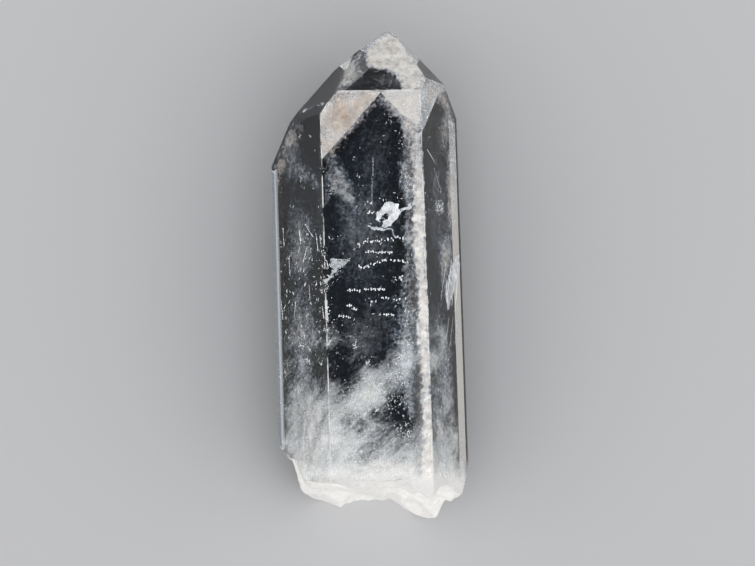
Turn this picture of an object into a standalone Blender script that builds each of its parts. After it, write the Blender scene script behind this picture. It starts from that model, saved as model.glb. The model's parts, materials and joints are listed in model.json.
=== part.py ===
"""A clear quartz crystal, broken off at its base, lying on its back prism face.

The c-axis runs along +Y, with the tip at +Y and the broken base at -Y.
The front prism face looks up, along +Z.
Sizes below are in millimetres, and the mesh is turned into metres at the end.
"""

import math
import random

import bmesh
import bpy
from mathutils import Matrix, Vector, noise

MM = 0.001

# The block that the crystal is cut from
BLOCK_WIDTH = 40.0
BLOCK_LENGTH = 80.0

# Prism faces: the turn about the c-axis from the front face, in degrees, and the distance from the axis
PRISM = {
    "front": (0.0, 8.47),
    "front_right": (60.0, 9.06),
    "back_right": (120.0, 9.04),
    "back": (180.0, 8.47),
    "back_left": (-120.0, 9.09),
    "front_left": (-60.0, 8.95),
}

# Termination faces: the turn about the axis, and the height along the axis at which the face meets it.
# Quartz always raises them by the same angle.
RHOMB_RAISE = 38.2
RHOMB = {
    "front": (0.0, 31.82),
    "front_right": (60.0, 34.20),
    "back_right": (120.0, 30.75),
    "back_left": (-120.0, 25.80),
    "front_left": (-60.0, 30.27),
}
# The steeper growth band under the front left termination face
STEEP_TURN = -60.0
STEEP_RAISE = 30.0
STEEP_HEIGHT = 34.10

# The crest between the two left termination faces is worn flat near the tip
CREST_TURN = -90.0
CREST_RAISE = 52.5
CREST_HEIGHT = 26.90

# The apex is worn to a small blunt top, which leans towards the front
APEX_WEAR = 0.16
APEX_LEAN = 12.0

# The broken base: its edge as seen from the front, from left to right, as X and Y
BREAK_LINE = (
    (-10.7, -16.6),
    (-9.8, -18.7),
    (-8.9, -19.2),
    (-8.3, -20.3),
    (-8.1, -21.8),
    (-7.2, -22.4),
    (-5.4, -22.6),
    (-3.2, -23.3),
    (-0.8, -22.8),
    (2.5, -22.7),
    (5.4, -24.8),
    (7.2, -25.3),
    (8.0, -24.9),
    (8.4, -24.0),
    (9.6, -23.2),
    (10.4, -20.2),
    (10.8, -17.0),
)
BREAK_RISE_TO_FRONT = 1.0
# Swells and grain of the broken surface: how high, and how many to a millimetre
SWELL_HEIGHT = 0.28
SWELL_RATE = 0.45
GRAIN_HEIGHT = 0.11
GRAIN_RATE = 1.7
# Ledges of the fracture: their height, how much of it is a sharp step, and the slant they follow
LEDGE_STEP = 0.45
LEDGE_DEPTH = 0.25
LEDGE_SHARPNESS = 2.5
LEDGE_SLANT_X = 0.25
LEDGE_SLANT_Z = -0.2

# The block that cuts the base: half its width and depth, its far end, and the pitch of its grid
BREAK_HALF_X = 12.0
BREAK_HALF_Z = 9.5
BREAK_FAR_END = -45.0
GRID_PITCH = 0.42

# Shell-shaped hollows in the base: X and Z from the axis, the highest point, and how round it is there
HOLLOWS = (
    (-5.4, 4.9, -21.2, 5.2),
    (0.9, 6.1, -21.6, 4.4),
    (6.6, 4.9, -22.0, 4.2),
    (-3.6, -1.6, -21.1, 4.6),
    (3.4, -0.2, -21.3, 4.6),
    (8.4, -1.6, -22.4, 3.0),
    (-9.6, -1.2, -17.4, 1.5),
    (-0.8, -6.2, -21.9, 3.0),
    (3.8, -5.0, -22.7, 2.0),
)
HOLLOW_RIM = 0.25

# Worn stretches of the edges between prism faces: the two faces, where it starts and ends, and chip radius
CHIPPED_EDGES = (
    ("front", "front_left", 4.2, -1.6, 0.62),
    ("front", "front_left", -3.4, -7.2, 0.34),
    ("front_left", "back_left", -7.6, -13.6, 0.32),
)
CHIP_SPACING = 1.15
CHIP_SINK = 0.55
CHIP_MOST_BITE = 0.5
CHIP_LUMPINESS = 0.14
CHIP_STRETCH = 1.5

# Chips on the edge between the steeper growth band and the termination face above it
SHOULDER_CHIPS = 9
SHOULDER_CHIP_RADIUS = 0.36
SHOULDER_START = -0.5
SHOULDER_END = 4.6
SHOULDER_BITE = 0.42

SEED = 11


def clear_scene():
    for thing in list(bpy.data.objects):
        bpy.data.objects.remove(thing, do_unlink=True)


def turned(degrees):
    """The outward direction of a prism face."""
    angle = math.radians(degrees)
    return Vector((math.sin(angle), 0.0, math.cos(angle)))


def raised(degrees, raise_degrees):
    """The outward direction of a termination face."""
    lift = math.radians(raise_degrees)
    return turned(degrees) * math.cos(lift) + Vector((0.0, math.sin(lift), 0.0))


def cut_off(mesh, point, outward):
    """Takes away what lies outside a plane and closes the cut."""
    geometry = mesh.verts[:] + mesh.edges[:] + mesh.faces[:]
    cut = bmesh.ops.bisect_plane(
        mesh, geom=geometry, plane_co=point, plane_no=outward, clear_outer=True
    )
    rim = [e for e in cut["geom_cut"] if isinstance(e, bmesh.types.BMEdge)]
    if rim:
        bmesh.ops.edgeloop_fill(mesh, edges=rim)


def new_object(name, mesh):
    data = bpy.data.meshes.new(name)
    bmesh.ops.recalc_face_normals(mesh, faces=mesh.faces[:])
    mesh.to_mesh(data)
    mesh.free()
    thing = bpy.data.objects.new(name, data)
    bpy.context.scene.collection.objects.link(thing)
    return thing


def crystal_body():
    """The sharp-edged crystal: a long block cut down to its prism and termination faces."""
    mesh = bmesh.new()
    block = Matrix.Diagonal((BLOCK_WIDTH, BLOCK_LENGTH, BLOCK_WIDTH, 1.0))
    bmesh.ops.create_cube(mesh, size=1.0, matrix=block)
    for turn, distance in PRISM.values():
        outward = turned(turn)
        cut_off(mesh, outward * distance, outward)
    for turn, height in RHOMB.values():
        cut_off(mesh, Vector((0.0, height, 0.0)), raised(turn, RHOMB_RAISE))
    cut_off(mesh, Vector((0.0, STEEP_HEIGHT, 0.0)), raised(STEEP_TURN, STEEP_RAISE))
    cut_off(mesh, Vector((0.0, CREST_HEIGHT, 0.0)), raised(CREST_TURN, CREST_RAISE))
    top = max((v.co.copy() for v in mesh.verts), key=lambda co: co.y)
    lean = math.radians(APEX_LEAN)
    wear = Vector((0.0, math.cos(lean), math.sin(lean)))
    cut_off(mesh, top - wear * APEX_WEAR, wear)
    return new_object("quartz_crystal", mesh)


def subtract(body, cutter):
    """Cuts one closed shape out of the body and removes the cutter."""
    cut = body.modifiers.new("cut", "BOOLEAN")
    cut.operation = "DIFFERENCE"
    cut.solver = "EXACT"
    cut.object = cutter
    bpy.context.view_layer.update()
    evaluated = body.evaluated_get(bpy.context.evaluated_depsgraph_get())
    result = bpy.data.meshes.new_from_object(evaluated)
    body.modifiers.clear()
    body.data = result
    bpy.data.objects.remove(cutter, do_unlink=True)


def soft_max(a, b, reach):
    """The larger of two heights, rounded over where they meet."""
    share = max(reach - abs(a - b), 0.0) / reach
    return max(a, b) + share * share * reach / 4.0


def line_height(points, x):
    """The height of a line of points at one place across it."""
    for (x0, y0), (x1, y1) in zip(points, points[1:]):
        if x0 <= x <= x1:
            return y0 + (y1 - y0) * (x - x0) / (x1 - x0)
    return points[0][1] if x < points[0][0] else points[-1][1]


def break_height(x, z):
    """Where the broken base ends the crystal, at a place across the base."""
    place = Vector((x, z, 0.0))
    height = line_height(BREAK_LINE, x)
    height += BREAK_RISE_TO_FRONT * (z / PRISM["front"][1] + 1.0) / 2.0
    height += SWELL_HEIGHT * noise.noise(place * SWELL_RATE)
    for hollow_x, hollow_z, highest, radius in HOLLOWS:
        across = (x - hollow_x) ** 2 + (z - hollow_z) ** 2
        height = soft_max(height, highest - across / (2.0 * radius), HOLLOW_RIM)
    slant = (height + LEDGE_SLANT_X * x + LEDGE_SLANT_Z * z) / LEDGE_STEP
    phase = slant - math.floor(slant)
    height += LEDGE_DEPTH * (min(1.0, phase * LEDGE_SHARPNESS) - phase)
    height += GRAIN_HEIGHT * noise.noise(place * GRAIN_RATE)
    return height


def break_cutter():
    """A block below the crystal whose top is the broken surface."""
    columns = int(2 * BREAK_HALF_X / GRID_PITCH)
    rows = int(2 * BREAK_HALF_Z / GRID_PITCH)
    mesh = bmesh.new()
    top = []
    for row in range(rows + 1):
        z = BREAK_HALF_Z * (2 * row / rows - 1.0)
        line = []
        for column in range(columns + 1):
            x = BREAK_HALF_X * (2 * column / columns - 1.0)
            line.append(mesh.verts.new((x, break_height(x, z), z)))
        top.append(line)
    for near, far in zip(top, top[1:]):
        for a, b, c, d in zip(near, near[1:], far[1:], far):
            mesh.faces.new((a, b, c))
            mesh.faces.new((a, c, d))
    rim = [e for e in mesh.edges if e.is_boundary]
    skirt = bmesh.ops.extrude_edge_only(mesh, edges=rim)["geom"]
    for corner in (v for v in skirt if isinstance(v, bmesh.types.BMVert)):
        corner.co.y = BREAK_FAR_END
    bottom = [e for e in mesh.edges if e.is_boundary]
    bmesh.ops.edgeloop_fill(mesh, edges=bottom)
    return new_object("break_cutter", mesh)


def edge_place(first, second, y):
    """The point at a height on the sharp edge between two prism faces, and its outward direction."""
    n1, d1 = turned(PRISM[first][0]), PRISM[first][1]
    n2, d2 = turned(PRISM[second][0]), PRISM[second][1]
    share = n1.x * n2.z - n1.z * n2.x
    x = (d1 * n2.z - d2 * n1.z) / share
    z = (n1.x * d2 - n2.x * d1) / share
    return Vector((x, y, z)), (n1 + n2).normalized()


def chip(body, place, outward, radius, bite, rng):
    """Knocks a shell-shaped chip off an edge."""
    mesh = bmesh.new()
    bmesh.ops.create_icosphere(mesh, subdivisions=1, radius=radius)
    for corner in mesh.verts:
        corner.co *= 1.0 + rng.uniform(-CHIP_LUMPINESS, CHIP_LUMPINESS)
        corner.co.y *= CHIP_STRETCH
    spin = Matrix.Rotation(rng.uniform(0.0, math.tau), 4, outward)
    centre = place + outward * (radius - bite)
    bmesh.ops.transform(mesh, matrix=Matrix.Translation(centre) @ spin, verts=mesh.verts[:])
    subtract(body, new_object("chip_cutter", mesh))


def chip_prism_edges(body, rng):
    for first, second, start, end, radius in CHIPPED_EDGES:
        count = max(2, round(abs(start - end) / CHIP_SPACING))
        for step in range(count):
            y = start + (end - start) * (step + rng.uniform(0.2, 0.8)) / count
            place, outward = edge_place(first, second, y)
            size = radius * rng.uniform(0.6, 1.1)
            bite = min(CHIP_MOST_BITE, size * CHIP_SINK)
            chip(body, place, outward, size, bite, rng)


def chip_shoulder(body, rng):
    """Chips along the edge between the steeper growth band and the termination face above it."""
    outward = turned(STEEP_TURN)
    across = Vector((0.0, 1.0, 0.0)).cross(outward)
    gentle = 1.0 / math.tan(math.radians(RHOMB_RAISE))
    steep = 1.0 / math.tan(math.radians(STEEP_RAISE))
    upper_height = RHOMB["front_left"][1]
    distance = (STEEP_HEIGHT - upper_height) / (steep - gentle)
    y = upper_height - distance * gentle
    lean = raised(STEEP_TURN, (RHOMB_RAISE + STEEP_RAISE) / 2.0)
    for step in range(SHOULDER_CHIPS):
        share = (step + rng.uniform(0.1, 0.9)) / SHOULDER_CHIPS
        s = SHOULDER_START + (SHOULDER_END - SHOULDER_START) * share
        place = outward * distance + across * s + Vector((0.0, y, 0.0))
        size = SHOULDER_CHIP_RADIUS * rng.uniform(0.7, 1.15)
        chip(body, place, lean, size, size * SHOULDER_BITE, rng)


def settle(body):
    """Sets the back prism face on Z = 0, centres it in X and Y, and scales it to metres."""
    low = Vector((min(v.co[i] for v in body.data.vertices) for i in range(3)))
    high = Vector((max(v.co[i] for v in body.data.vertices) for i in range(3)))
    middle = (low + high) / 2.0
    place = Matrix.Translation((-middle.x, -middle.y, -low.z))
    body.data.transform(Matrix.Scale(MM, 4) @ place)
    body.data.update()


def quartz_material():
    material = bpy.data.materials.new("clear_quartz")
    material.use_nodes = True
    shader = material.node_tree.nodes["Principled BSDF"]
    shader.inputs["Base Color"].default_value = (0.93, 0.94, 0.95, 1.0)
    shader.inputs["Roughness"].default_value = 0.04
    shader.inputs["Metallic"].default_value = 0.0
    shader.inputs["IOR"].default_value = 1.544
    shader.inputs["Transmission Weight"].default_value = 1.0
    return material


def main():
    clear_scene()
    rng = random.Random(SEED)
    body = crystal_body()
    chip_prism_edges(body, rng)
    chip_shoulder(body, rng)
    subtract(body, break_cutter())
    settle(body)
    body.data.materials.clear()
    body.data.materials.append(quartz_material())


main()
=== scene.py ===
"""Clear quartz crystal with a milky root, lying on a pale floor.

The crystal is one clear body. Inside it are the things that give it life: a milky cloud that
rises from the broken root, hazy veils, rows of tiny bubbles, bright flaws and fine flecks.
The model is in metres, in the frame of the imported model. Tables and helpers that work in
millimetres or in the photograph's pixels say so. The crystal lies along Y with its root at the
low end.
"""

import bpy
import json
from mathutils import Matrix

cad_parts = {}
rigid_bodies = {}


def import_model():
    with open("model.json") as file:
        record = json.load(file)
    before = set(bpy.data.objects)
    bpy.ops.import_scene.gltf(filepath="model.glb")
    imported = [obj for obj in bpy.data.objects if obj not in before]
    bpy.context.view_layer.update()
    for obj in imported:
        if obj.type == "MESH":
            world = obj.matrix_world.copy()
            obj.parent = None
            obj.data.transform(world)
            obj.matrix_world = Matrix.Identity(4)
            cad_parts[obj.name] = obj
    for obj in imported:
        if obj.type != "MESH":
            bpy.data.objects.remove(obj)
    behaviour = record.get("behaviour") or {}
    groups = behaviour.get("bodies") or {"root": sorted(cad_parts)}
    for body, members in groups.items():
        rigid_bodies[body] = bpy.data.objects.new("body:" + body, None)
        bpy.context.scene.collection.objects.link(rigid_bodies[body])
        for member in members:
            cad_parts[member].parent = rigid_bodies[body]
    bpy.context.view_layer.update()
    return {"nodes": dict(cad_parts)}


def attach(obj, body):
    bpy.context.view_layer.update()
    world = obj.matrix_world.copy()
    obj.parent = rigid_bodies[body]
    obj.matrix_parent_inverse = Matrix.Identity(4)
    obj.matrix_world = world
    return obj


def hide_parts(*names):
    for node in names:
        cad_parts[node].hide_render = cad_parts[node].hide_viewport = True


bl_info = {
    "name": "Clear quartz crystal",
    "version": (1, 0, 0),
    "blender": (4, 5, 0),
    "location": "View3D > Sidebar > Quartz",
    "description": "Finishes a clear quartz crystal with its cloud, veils, bubbles and flaws",
    "category": "Object",
}

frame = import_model()

import json
import math
import random
from collections import namedtuple

import bpy
import numpy as np
from bpy.props import FloatProperty, FloatVectorProperty, IntProperty, PointerProperty
from mathutils import Matrix, Vector, noise
from mathutils.bvhtree import BVHTree

MM = 0.001

# The prism, in millimetres
AXIS_X = -0.017
AXIS_Z = 8.47
# each side of the prism that faces the camera: turn about the long axis, distance from it
FACES = {"front": (0.0, 8.47), "front_right": (60.0, 9.06), "front_left": (-60.0, 8.95)}
# how far the outward direction of the tip's top face rises to the tip (degrees)
RHOMB_RAISE = 38.2
# the prism's own faces turn milky towards the broken root: from this place at most (Y), over this
# length, and this unevenly
ROOT_MILK_TOP = -18.6
ROOT_MILK_FADE = 3.4
ROOT_MILK_UNEVEN = 5.0

# The camera of the photograph: angles in degrees, lengths in millimetres
PHOTO_WIDTH = 755
PHOTO_HEIGHT = 566
SENSOR = 36.0
CAMERA_TILT = 7.0241
CAMERA_SPIN = -5.1725
CAMERA_ROLL = 1.7976
CAMERA_DISTANCE = 337.04
PIXELS_PER_MM = 9.216
AIM_RIGHT = -0.2237
AIM_UP = 2.0659
AIM_HEIGHT = 16.94

# Facets along the long edges: turn about the long axis, and for the rims their share of the rim depth
RIM_TURNS = ((150.0, 1.4), (-150.0, 1.0))
WORN_TURNS = (30.0, -30.0)
# coplanar triangles are joined up to this angle, and doubled corners within this distance
FLAT_ANGLE = math.radians(0.4)
MERGE_DISTANCE = 1e-7


# Small helpers
def deselect_all():
    for obj in bpy.context.view_layer.objects:
        obj.select_set(False)


def make_active(obj):
    deselect_all()
    obj.select_set(True)
    bpy.context.view_layer.objects.active = obj


def new_object(name, data):
    """A new object of the scene that shows a mesh, lamp or camera."""
    obj = bpy.data.objects.new(name, data)
    bpy.context.scene.collection.objects.link(obj)
    return obj


def piece_named(name):
    obj = bpy.data.objects.get(name)
    if obj is None:
        raise RuntimeError(f"{name} has not been made yet")
    return obj


def smooth(value, low, high):
    """0 below low, 1 above high, and an S-curve in between."""
    t = np.clip((value - low) / (high - low), 0.0, 1.0)
    return t * t * (3.0 - 2.0 * t)


def camera_axes():
    """Right, up and back directions of the photograph's view, before its roll."""
    tilt, spin = math.radians(CAMERA_TILT), math.radians(CAMERA_SPIN)
    turn = Matrix.Rotation(spin, 3, "Y")
    right = turn @ Vector((1, 0, 0))
    up = turn @ Vector((0, math.cos(tilt), math.sin(tilt)))
    back = turn @ Vector((0, -math.sin(tilt), math.cos(tilt)))
    return right, up, back


def rolled_axes():
    """The same three directions after the roll."""
    right, up, back = camera_axes()
    roll = math.radians(CAMERA_ROLL)
    level = right * math.cos(roll) - up * math.sin(roll)
    above = right * math.sin(roll) + up * math.cos(roll)
    return level, above, back


def camera_place():
    """The camera's place in millimetres."""
    right, up, back = camera_axes()
    eye = back * CAMERA_DISTANCE - right * AIM_RIGHT - up * AIM_UP
    return eye + Vector((0, 0, AIM_HEIGHT))


def under_face(face, across, along, depth):
    """A place inside the crystal (mm), seen by the camera through that spot of a face.

    The line of sight bends as it enters the quartz, so the place lies depth along the bent line.
    """
    turn, distance = FACES[face]
    a = math.radians(turn)
    normal = Vector((math.sin(a), 0, math.cos(a)))
    sideways = Vector((math.cos(a), 0, -math.sin(a)))
    spot = Vector((AXIS_X, along, AXIS_Z)) + normal * distance + sideways * across
    sight = (spot - camera_place()).normalized()
    return spot + bend_into(normal, sight) * depth


def bend_into(normal, sight):
    """The direction of a line of sight after it enters the quartz."""
    ratio = 1.0 / bpy.context.scene.quartz.ior
    straight = -normal.dot(sight)
    return sight * ratio + normal * (ratio * straight - math.sqrt(1.0 - ratio**2 * (1.0 - straight**2)))


def pixel_sight(across, down):
    """Direction in which the camera sees a pixel of the photograph."""
    level, above, back = rolled_axes()
    x = (across - PHOTO_WIDTH / 2) / PIXELS_PER_MM / CAMERA_DISTANCE
    y = (PHOTO_HEIGHT / 2 - down) / PIXELS_PER_MM / CAMERA_DISTANCE
    return (level * x + above * y - back).normalized()


def face_at_pixel(tree, across, down):
    """The spot (mm) and outward direction of the surface that a pixel shows."""
    eye = camera_place()
    spot, normal, _, _ = tree.ray_cast(eye * MM, pixel_sight(across, down))
    if spot is None:
        raise RuntimeError(f"pixel {across}, {down} misses the crystal")
    return spot / MM, normal


def under_pixel(face, across, down, depth):
    """A place (mm) that deep behind a flat face, where the camera sees it at that pixel."""
    spot, normal = face
    eye, sight = camera_place(), pixel_sight(across, down)
    reach = (spot - eye).dot(normal) / sight.dot(normal)
    return eye + sight * reach + bend_into(normal, sight) * depth


def body_tree():
    """The finished body's surface, for asking how deep a place lies under it."""
    body = piece_named("crystal_body")
    return BVHTree.FromObject(body, bpy.context.evaluated_depsgraph_get())


# a direction that lies in no face
SLANT = Vector((0.11, 0.23, 0.97)).normalized()


def depth_under(tree, place):
    """How far (mm) a place in mm lies under the crystal's surface; negative outside."""
    spot = Vector(place) * MM
    distance = tree.find_nearest(spot)[3]
    _, normal, _, _ = tree.ray_cast(spot, SLANT)
    inside = normal is not None and normal.dot(SLANT) > 0
    return distance / MM * (1 if inside else -1)


# Materials
def new_material(name):
    """A new material, its node tree and its surface node."""
    material = bpy.data.materials.new(name)
    material.use_nodes = True
    tree = material.node_tree
    return material, tree, tree.nodes["Principled BSDF"]


def add_node(tree, kind, inputs=None, **settings):
    """A node with its settings, and its inputs by name or number: a value or a socket."""
    made = tree.nodes.new(kind)
    for key, value in settings.items():
        setattr(made, key, value)
    for key, value in (inputs or {}).items():
        if isinstance(value, bpy.types.NodeSocket):
            tree.links.new(value, made.inputs[key])
        else:
            made.inputs[key].default_value = value
    return made


def object_mm(tree, lay=0.0, lengths=(1, 1, 1)):
    """Object coordinates in units of some lengths (mm), in a frame turned about Z by lay degrees."""
    coords = add_node(tree, "ShaderNodeTexCoord")
    turned = add_node(
        tree,
        "ShaderNodeMapping",
        {
            "Vector": coords.outputs["Object"],
            "Rotation": (0.0, 0.0, math.radians(lay)),
            "Scale": [length * MM for length in lengths],
        },
        vector_type="TEXTURE",
    )
    return turned.outputs["Vector"]


def noise_value(tree, vector, scale, detail=2.0, roughness=0.5, distortion=0.0):
    """A cloudy noise, from 0 to 1 and mostly near the middle."""
    made = add_node(
        tree,
        "ShaderNodeTexNoise",
        {
            "Vector": vector,
            "Scale": scale,
            "Detail": detail,
            "Roughness": roughness,
            "Distortion": distortion,
        },
    )
    return made.outputs["Fac"]


def math_value(tree, operation, first, second=0.0, third=0.0, clamp=False):
    """The result of a sum with two or three values."""
    values = {0: first, 1: second, 2: third}
    return add_node(tree, "ShaderNodeMath", values, operation=operation, use_clamp=clamp).outputs[0]


def ramp(tree, value, start, end, low=0.0, high=1.0, interpolation="SMOOTHSTEP"):
    """A soft change from low to high as a value goes from start to end."""
    inputs = {"Value": value, "From Min": start, "From Max": end, "To Min": low, "To Max": high}
    return add_node(tree, "ShaderNodeMapRange", inputs, interpolation_type=interpolation).outputs[0]


def attribute_value(tree, name):
    return add_node(tree, "ShaderNodeAttribute", attribute_name=name).outputs["Fac"]


def mix_colour(tree, share, first, second, blend="MIX"):
    """A share of the second colour blended into the first."""
    made = add_node(tree, "ShaderNodeMix", data_type="RGBA", blend_type=blend)
    for key, value in (("Factor", share), ("A", first), ("B", second)):
        socket = next(s for s in made.inputs if s.name == key and s.enabled)
        if isinstance(value, bpy.types.NodeSocket):
            tree.links.new(value, socket)
        else:
            socket.default_value = value
    return next(s for s in made.outputs if s.enabled)


# milkiness and roughness of a broken surface: share of a fine noise, and least value
BREAK_MILK = (0.6, 0.55)
BREAK_ROUGHNESS = (0.3, 0.35)
BREAK_RELIEF = 0.25 * MM
# values of a patchy noise between which a worn edge turns from clear to rubbed
RUBBED_SPAN = (0.38, 0.54)


def quartz_material(settings):
    """Clear quartz; where the surface is broken or worn it is rough and milky."""
    material, tree, surface = new_material("clear_quartz")
    surface.inputs["IOR"].default_value = settings.ior
    surface.inputs["Base Color"].default_value = (*settings.break_colour, 1)
    parts = add_node(tree, "ShaderNodeSeparateXYZ", {0: object_mm(tree)})
    ragged = noise_value(tree, object_mm(tree), 0.5, detail=5.0, roughness=0.65)
    height = math_value(tree, "MULTIPLY_ADD", ragged, ROOT_MILK_UNEVEN, parts.outputs["Y"])
    near_root = ramp(tree, height, ROOT_MILK_TOP, ROOT_MILK_TOP - ROOT_MILK_FADE)
    patchy = noise_value(tree, object_mm(tree), 0.55, detail=5.0)
    rubbed = ramp(tree, patchy, *RUBBED_SPAN, interpolation="LINEAR")
    worn = math_value(tree, "MULTIPLY", attribute_value(tree, "worn"), rubbed)
    broken = math_value(tree, "MAXIMUM", attribute_value(tree, "broken"), near_root)
    broken = math_value(tree, "MAXIMUM", broken, worn)
    grain = noise_value(tree, object_mm(tree), 2.2, detail=4.0, roughness=0.6)
    milk = math_value(tree, "MULTIPLY_ADD", grain, *BREAK_MILK)
    milk = math_value(tree, "MULTIPLY", broken, milk, clamp=True)
    clear = math_value(tree, "SUBTRACT", 1.0, milk, clamp=True)
    tree.links.new(clear, surface.inputs["Transmission Weight"])
    rough = math_value(tree, "MULTIPLY_ADD", grain, *BREAK_ROUGHNESS)
    rough = math_value(tree, "MULTIPLY", broken, rough)
    tree.links.new(rough, surface.inputs["Roughness"])
    absorb = add_node(tree, "ShaderNodeVolumeAbsorption")
    absorb.inputs["Color"].default_value = (*settings.absorption_colour, 1)
    absorb.inputs["Density"].default_value = settings.absorption
    tree.links.new(absorb.outputs[0], tree.nodes["Material Output"].inputs["Volume"])
    crumb = noise_value(tree, object_mm(tree), 3.2, detail=5.0, roughness=0.65)
    relief = math_value(tree, "MULTIPLY", crumb, broken)
    heights = {"Height": relief, "Strength": 0.6, "Distance": BREAK_RELIEF}
    bump = add_node(tree, "ShaderNodeBump", heights)
    tree.links.new(bump.outputs["Normal"], surface.inputs["Normal"])
    return material


# a veil's pattern: grain size (mm), lie of its fibres (degrees), softness, how much its lumps,
# fibres and grains weigh, and its darkest shade
VeilLook = namedtuple("VeilLook", "grain_size lay softness lumps fibres grains darkest")
CLOUD_LOOK = VeilLook(0.34, 36.0, 0.46, 0.36, 0.34, 0.3, (0.7, 0.72, 0.75))
VEIL_LOOK = VeilLook(0.36, 78.0, 0.42, 0.26, 0.26, 0.48, (0.64, 0.64, 0.65))
FLAW_LOOK = VeilLook(0.2, 70.0, 0.18, 0.2, 0.3, 0.5, (0.64, 0.64, 0.65))
# length, width and height of the fibres (mm), and lumps and mottles in a millimetre
FIBRE = (2.3, 0.5, 1.2)
LUMPS_PER_MM = 0.45
MOTTLES_PER_MM = 1.3
PATTERN_CONTRAST = 1.8
# the pattern shows above a level that falls as the sheet gets denser
CLEAR_LEVEL = 0.68
LEVEL_FALL = -0.5
# gain and least value of the mottle in how solid the veil is, and in its shade
MOTTLED_COVER = (1.7, 0.1)
MOTTLED_SHADE = (2.4, -0.7)


def veil_material(name, thin, thick, stain, look):
    """Milky veil: a pattern of fibres and grains that shows where the sheet's density lets it."""
    material, tree, surface = new_material(name)
    surface.inputs["Roughness"].default_value = 0.8
    surface.inputs["Specular IOR Level"].default_value = 0.0
    density = attribute_value(tree, "milkiness")
    lumps = noise_value(tree, object_mm(tree), LUMPS_PER_MM, detail=3.0, distortion=0.6)
    along = object_mm(tree, look.lay, FIBRE)
    fibres = noise_value(tree, along, 1.0, detail=5.0, roughness=0.6, distortion=0.9)
    grains = noise_value(tree, object_mm(tree), 1.0 / look.grain_size, detail=4.0, roughness=0.66)
    mottle = noise_value(tree, object_mm(tree), MOTTLES_PER_MM, detail=5.0, roughness=0.65)

    pattern = math_value(tree, "MULTIPLY", lumps, look.lumps)
    pattern = math_value(tree, "MULTIPLY_ADD", fibres, look.fibres, pattern)
    pattern = math_value(tree, "MULTIPLY_ADD", grains, look.grains, pattern)
    pattern = math_value(tree, "MULTIPLY_ADD", pattern, PATTERN_CONTRAST, 0.5 - 0.5 * PATTERN_CONTRAST)
    level = math_value(tree, "MULTIPLY_ADD", density, LEVEL_FALL, CLEAR_LEVEL)
    shown = ramp(tree, pattern, level, math_value(tree, "ADD", level, look.softness))
    cover = math_value(tree, "MULTIPLY_ADD", mottle, *MOTTLED_COVER)
    cover = math_value(tree, "MULTIPLY", attribute_value(tree, "cover"), cover)
    tree.links.new(math_value(tree, "MULTIPLY", shown, cover, clamp=True), surface.inputs["Alpha"])

    shade = math_value(tree, "MULTIPLY_ADD", mottle, *MOTTLED_SHADE, clamp=True)
    shade = mix_colour(tree, shade, (*look.darkest, 1), (1, 1, 1, 1))
    share = math_value(tree, "MULTIPLY", shown, density, clamp=True)
    white = mix_colour(tree, share, (*thin, 1), (*thick, 1))
    rust = math_value(tree, "MULTIPLY", attribute_value(tree, "rust"), lumps, clamp=True)
    tinted = mix_colour(tree, rust, white, (*stain, 1))
    tree.links.new(mix_colour(tree, 1.0, tinted, shade, "MULTIPLY"), surface.inputs["Base Color"])
    return material


def milk_material(name, colour):
    """Opaque milky quartz for grains and bubbles."""
    material, tree, surface = new_material(name)
    surface.inputs["Roughness"].default_value = 0.5
    surface.inputs["Specular IOR Level"].default_value = 0.1
    grain = noise_value(tree, object_mm(tree), 3.0, detail=3.0)
    shade = tuple(0.82 * c for c in colour)
    tree.links.new(mix_colour(tree, grain, (*shade, 1), (*colour, 1)), surface.inputs["Base Color"])
    return material


# The crystal's body
def node_copy(node, name):
    """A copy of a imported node's mesh as a new object at the origin."""
    mesh = frame["nodes"][node].data.copy()
    mesh.name = name
    return new_object(name, mesh)


def facet_normal(turn, rise=0.0):
    """Outward direction of a facet: its turn about the long axis, and its rise to the tip."""
    a, r = math.radians(turn), math.radians(rise)
    return Vector((math.sin(a) * math.cos(r), math.sin(r), math.cos(a) * math.cos(r)))


def cut_facet(obj, normal, depth):
    """Cut a flat facet, depth metres below the furthest point in its direction."""
    furthest = max(v.co.dot(normal) for v in obj.data.vertices)
    bpy.ops.object.mode_set(mode="EDIT")
    bpy.ops.mesh.select_all(action="SELECT")
    bpy.ops.mesh.bisect(
        plane_co=normal * (furthest - depth),
        plane_no=normal,
        use_fill=True,
        clear_outer=True,
        threshold=MERGE_DISTANCE,
    )
    bpy.ops.object.mode_set(mode="OBJECT")


# a face is worn if it points this nearly the way of a worn facet, and broken if it leans this
# much towards the root and lies beyond this place
SAME_WAY = 0.9999
BREAK_LEAN = -0.25
BREAK_TOP = -18 * MM


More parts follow.
